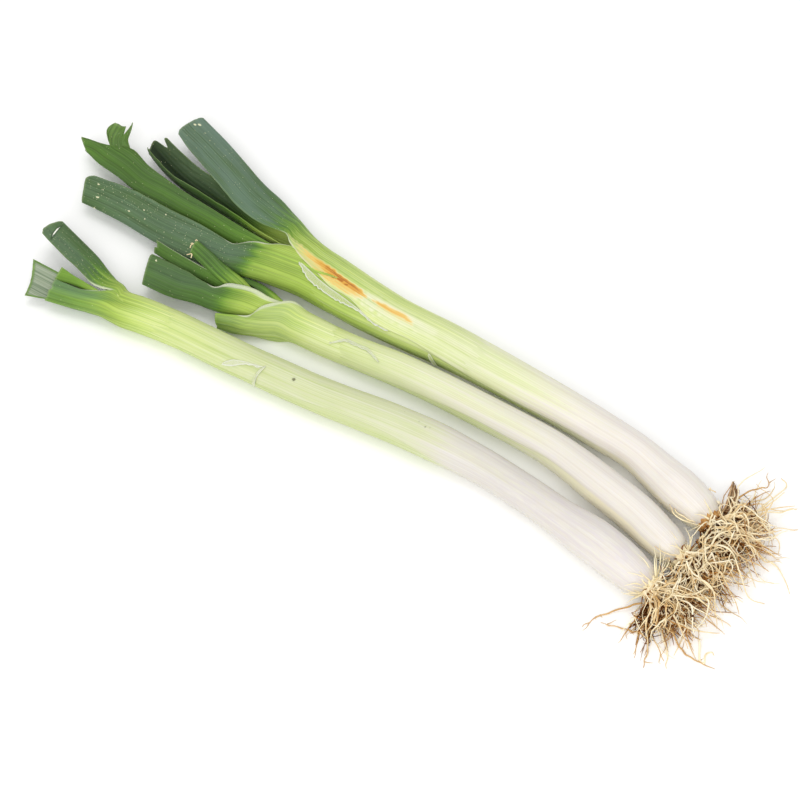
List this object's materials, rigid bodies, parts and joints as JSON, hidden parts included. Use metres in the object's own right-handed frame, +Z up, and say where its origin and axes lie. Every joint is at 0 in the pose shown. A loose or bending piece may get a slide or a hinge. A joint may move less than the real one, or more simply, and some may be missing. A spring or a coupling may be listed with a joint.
{
  "type": "spring onion bunch",
  "caption": "Long white-shafted onions with flat folded green leaves cut short and fibrous roots, lying side by side.",
  "frame": {"origin": "middle of the bunch's footprint, on the surface it lies on", "axes": "+X runs from the cut leaves towards the roots, +Z is up, and the stalk with the lowest Y is the front one"},
  "size_m": [0.6169, 0.2015, 0.0294],
  "materials": {
    "shaft": "satin",
    "leaf": "matte",
    "pale_leaf": "satin",
    "dry_skin": "satin",
    "film": "satin",
    "husk": "matte",
    "root_plate": "matte",
    "root": "matte"
  },
  "bodies": {
    "root": {"back_shaft": "shaft", "middle_shaft": "shaft", "front_shaft": "shaft", "back_root_plate": "root_plate", "middle_root_plate": "root_plate", "front_root_plate": "root_plate", "back_roots": "root", "middle_roots": "root", "front_roots": "root", "back_leaf_1": "leaf", "back_leaf_2": "leaf", "back_leaf_3": "leaf", "back_leaf_4": "leaf", "middle_leaf_1": "leaf", "middle_leaf_2": "leaf", "middle_leaf_3": "leaf", "middle_leaf_4": "leaf", "middle_leaf_5": "leaf", "front_leaf_1": "leaf", "front_leaf_2": "leaf", "front_leaf_3": "pale_leaf", "front_leaf_4": "leaf", "back_husk": "husk", "back_dry_skin": "dry_skin", "middle_film": "film", "front_film": "film", "stray_root_1": "root", "stray_root_2": "root", "stray_root_3": "root", "stray_root_4": "root", "stray_root_5": "root"}
  },
  "joints": []
}
